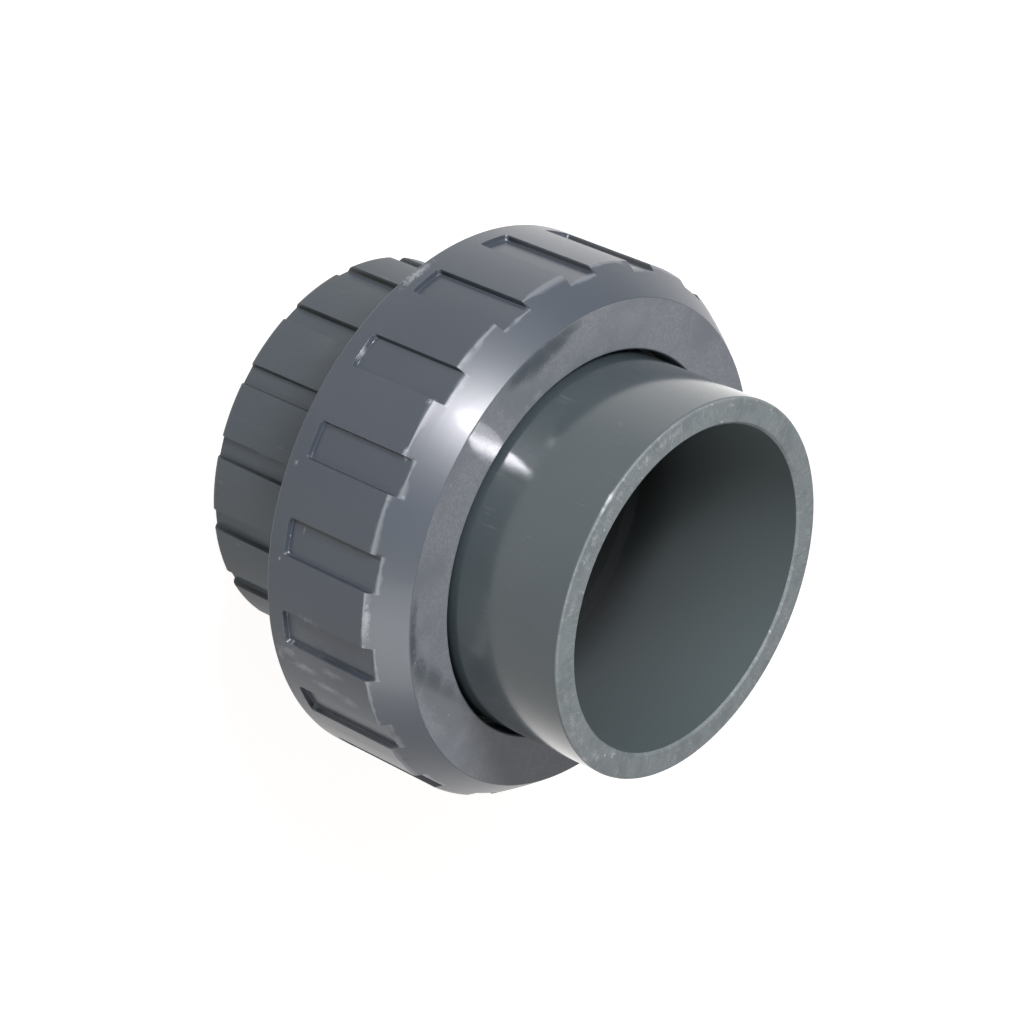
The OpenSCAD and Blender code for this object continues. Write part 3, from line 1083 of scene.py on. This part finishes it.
def nut_plastic():
    """Blue-grey nut: satin pads, a softly shining slope, a rubbed front ring and pale worn edges, with
    painted shade in its pockets and a painted highlight on one pocket's back wall.
    """
    material, tree, shader = new_material("nut_plastic")
    shader.inputs["IOR"].default_value = MOULDED_IOR
    line_lift = 0.2
    shade_r = NUT_R - 0.15
    front_low = NUT_TOP_Z - 1.5
    front_high = NUT_TOP_Z - 0.8
    specks_off_clouds = 0.25
    front = use(tree, FACING)["Front"]
    at_front = use(tree, DEPTH, low=front_low, high=front_high)["Share"]
    ring = calc(tree, "MULTIPLY", span(tree, front, *RING_FACING), at_front)
    slope = calc(tree, "SUBTRACT", span(tree, front, *SLOPE_FACING), ring, clamp=True)
    moulded = use(tree, SKIN, drift=0.03, peel=0.5, **NUT_TONES)
    dust = use(tree, DUST, spacing=5.0, share=0.35, size=0.2)["Mask"]
    scratch = use(tree, SCRATCHES, spacing=9.0, share=0.2)["Mask"]
    edge_heights = {"height": CONE_Z + line_lift, "pocket_height": POCKET_END_Z + line_lift}
    edge = use(tree, EDGE_WEAR, half_width=0.6, share=0.8, **edge_heights)["Mask"]
    # Wear, and a painted highlight on one pocket's back wall
    pad_wear_and_glint = placed_patches(tree, NUT_PAD_WEAR_AND_GLINT)
    wear = weighed(tree, [(dust, 0.5), (scratch, 0.07), (edge, 0.32), (pad_wear_and_glint, 1.0)])
    # Painted shade: dark at the foot of the pockets' walls, a painted shadow line on the pockets' floors, and
    # dark patches in the lowest pockets
    pocket_wall_shade = use(tree, RECESS_WALL_SHADE, other_side=0.4, radius=shade_r)["Mask"]
    pocket_floor_shadow = use(tree, POCKET_SHADOW_LINE, width=1.9)["Mask"]
    pad_painted_shade = placed_patches(tree, NUT_PAD_PAINTED_SHADE, raggedness=0.3, softness=0.5)
    painted_shade = weighed(tree, [(pocket_wall_shade, 0.9), (pocket_floor_shadow, 0.75), (pad_painted_shade, 1.0)])

    haze = use(tree, HAZE, cloud=0.07, grain=2.0, cover=0.75)
    smooth = placed_patches(tree, NUT_FRONT_SMOOTH, raggedness=0.5, grain=0.45, softness=0.85)
    clouds = placed_patches(tree, NUT_FRONT_CLOUDS)
    glossy_strip = placed_patches(tree, NUT_FRONT_STRIP, raggedness=0.3, softness=0.4)
    hazy = calc(tree, "SUBTRACT", haze["Mask"], smooth, clamp=True)
    rubbed = weighed(tree, [(hazy, 1.0), (clouds, 0.9)])
    matt = calc(tree, "MULTIPLY", calc(tree, "SUBTRACT", 1.0, smooth), ring)
    rough_ring = calc(tree, "SUBTRACT", matt, glossy_strip, clamp=True)
    smooth_ring = calc(tree, "SUBTRACT", ring, rough_ring, clamp=True)
    ring_dust = use(tree, DUST, spacing=2.2, share=0.25, size=0.2)["Mask"]
    speckled = calc(tree, "MULTIPLY", ring_dust, calc(tree, "ADD", clouds, specks_off_clouds))
    ring_coats = [(matt, RING_MATT), (rubbed, RING_RUBBED), (speckled, RING_SPECK)]
    ring_colour = painted(tree, RING_SMOOTH, ring_coats)
    nut_coats = [(painted_shade, NUT_PAINTED_SHADE), (wear, PALE_WEAR), (ring, ring_colour)]
    colour = painted(tree, moulded["Skin Colour"], nut_coats)

    rougher = [(ring, RING_ROUGHER), (slope, SLOPE_ROUGHER), (rough_ring, RUBBED_RING_ROUGHER)]
    roughness = raised(tree, NUT_ROUGHNESS, rougher)
    grain = calc(tree, "MULTIPLY", haze["Grain"], rough_ring)
    grain_relief = calc(tree, "MULTIPLY", grain, RING_GRAIN)
    dress(tree, shader, colour, roughness, raised(tree, grain_relief, [(moulded["Height"], NUT_PEEL)]))
    polish(tree, shader, raised(tree, smooth_ring, [(slope, SLOPE_COAT)]), RING_COAT_ROUGHNESS)
    return material


def seal_rubber():
    """Matt black rubber with a faint bloom."""
    material, tree, shader = new_material("seal_rubber")
    moulded = use(tree, SKIN, drift=0.2, peel=2.0, **RUBBER_TONES)
    bloom = use(tree, HAZE, cloud=0.3, grain=3.0, cover=0.4)["Mask"]
    colour = blend_colour(tree, weighed(tree, [(bloom, 0.06)]), moulded["Skin Colour"], RUBBER_BLOOM)
    roughness = raised(tree, RUBBER_ROUGHNESS, [(bloom, BLOOM_ROUGHER)])
    dress(tree, shader, colour, roughness, calc(tree, "MULTIPLY", moulded["Height"], RUBBER_PEEL))
    return material


def seen_by(tree, camera, mirrors):
    """A strength that is camera for what the eye sees straight, and mirrors for what gloss or glass shows."""
    path = put(tree, "ShaderNodeLightPath").outputs
    indirect = calc(tree, "MAXIMUM", path["Is Glossy Ray"], path["Is Transmission Ray"])
    straight = calc(tree, "MULTIPLY", path["Is Camera Ray"], camera)
    return calc(tree, "MULTIPLY_ADD", indirect, mirrors, straight)


# Floor: how pale it is, what the eye sees of it, and how bright its two sides show in gloss
FLOOR_COLOUR = (0.42, 0.42, 0.415, 1)
FLOOR_ROUGHNESS = 0.9
FLOOR_GLOW = (1.0, 0.975, 0.965, 1)
FLOOR_SEEN = 0.9
FLOOR_HALF = 4000
NEAR_SIDE_MIRRORED = 0.5
FAR_SIDE_MIRRORED = 1.05
FAR_SIDE = Vector((-0.1, 1, 0))
SIDE_FADE = 0.06

# Surroundings
ROOM_COLOUR = (0.97, 0.985, 1, 1)
ROOM_SEEN = 1.03
ROOM_MIRRORED = 0.8
ROOM_LEVEL = 0.14

# Lamps: name, direction from the camera's view as (right, up, backward), distance, size, watts and colour
FLASH = ("flash", (0.163, 0.35, 0.925), 800, 80, 5.6, (0.96, 0.93, 1.0))
FRONT_SOFTBOX = ("front_softbox", (0.2, 0.55, 0.81), 900, 1400, 1.9, (0.94, 0.97, 1.0))
KEY_SOFTBOX = ("key_softbox", (0.35, 0.34, 0.88), 900, 320, 6.3, (0.96, 0.98, 1.0))
LOW_SOFTBOX = ("low_softbox", (-0.2, -0.75, 0.45), 900, 700, 4.0, (1.0, 0.985, 0.96))
LOW_FILL = ("low_fill", (-0.3, -0.6, 0.74), 900, 700, 2.0, (1.0, 0.97, 0.93))


def floor_white():
    """A floor that reads white to the eye and in reflections, and keeps a soft shadow."""
    material, tree, shader = new_material("floor_white")
    shader.inputs["Base Color"].default_value = FLOOR_COLOUR
    shader.inputs["Roughness"].default_value = FLOOR_ROUGHNESS
    place = put(tree, "ShaderNodeTexCoord").outputs["Object"]
    to_far_side = vector_calc(tree, "DOT_PRODUCT", place, FAR_SIDE, output="Value")
    mirrored = span(tree, to_far_side, -SIDE_FADE, SIDE_FADE, NEAR_SIDE_MIRRORED, FAR_SIDE_MIRRORED)
    strength = seen_by(tree, FLOOR_SEEN, mirrored)
    glow = put(tree, "ShaderNodeEmission", {"Strength": strength, "Color": FLOOR_GLOW})
    both = put(tree, "ShaderNodeAddShader", {0: shader.outputs[0], 1: glow.outputs[0]})
    tree.links.new(both.outputs[0], tree.nodes["Material Output"].inputs["Surface"])
    return material


def make_floor():
    corners = [(-1, -1), (1, -1), (1, 1), (-1, 1)]
    mesh = bpy.data.meshes.new("floor")
    mesh.from_pydata([Vector((x, y, 0)) * FLOOR_HALF * MM for x, y in corners], [], [(0, 1, 2, 3)])
    floor = bpy.data.objects.new("floor", mesh)
    bpy.context.scene.collection.objects.link(floor)
    floor.data.materials.append(floor_white())


def make_room():
    world = bpy.data.worlds.new("studio")
    world.use_nodes = True
    bpy.context.scene.world = world
    tree = world.node_tree
    background = tree.nodes["Background"]
    strength = calc(tree, "MAXIMUM", seen_by(tree, ROOM_SEEN, ROOM_MIRRORED), ROOM_LEVEL)
    tree.links.new(strength, background.inputs["Strength"])
    background.inputs["Color"].default_value = ROOM_COLOUR


def make_studio():
    """Pale floor, white surroundings and soft lamps; two lamps show only in gloss and one never does."""
    make_floor()
    make_room()
    lamp(*FLASH).visible_diffuse = False
    lamp(*FRONT_SOFTBOX)
    lamp(*KEY_SOFTBOX)
    lamp(*LOW_SOFTBOX).visible_diffuse = False
    lamp(*LOW_FILL).visible_glossy = False


make_camera()
make_studio()

PIECES = [
    (make_bush, "bush", "threaded_bush", bush_plastic),
    (make_tail, "tail", "union_end", tail_plastic),
    (make_nut, "nut", "union_nut", nut_plastic),
]
for make, body, node, make_material in PIECES:
    piece = make()
    shade(piece)
    piece.data.materials.clear()
    piece.data.materials.append(make_material())
    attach(piece, body)
    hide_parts(node)
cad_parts["seal_ring"].material_slots[0].material = seal_rubber()

bpy.context.scene.view_settings.view_transform = "Standard"
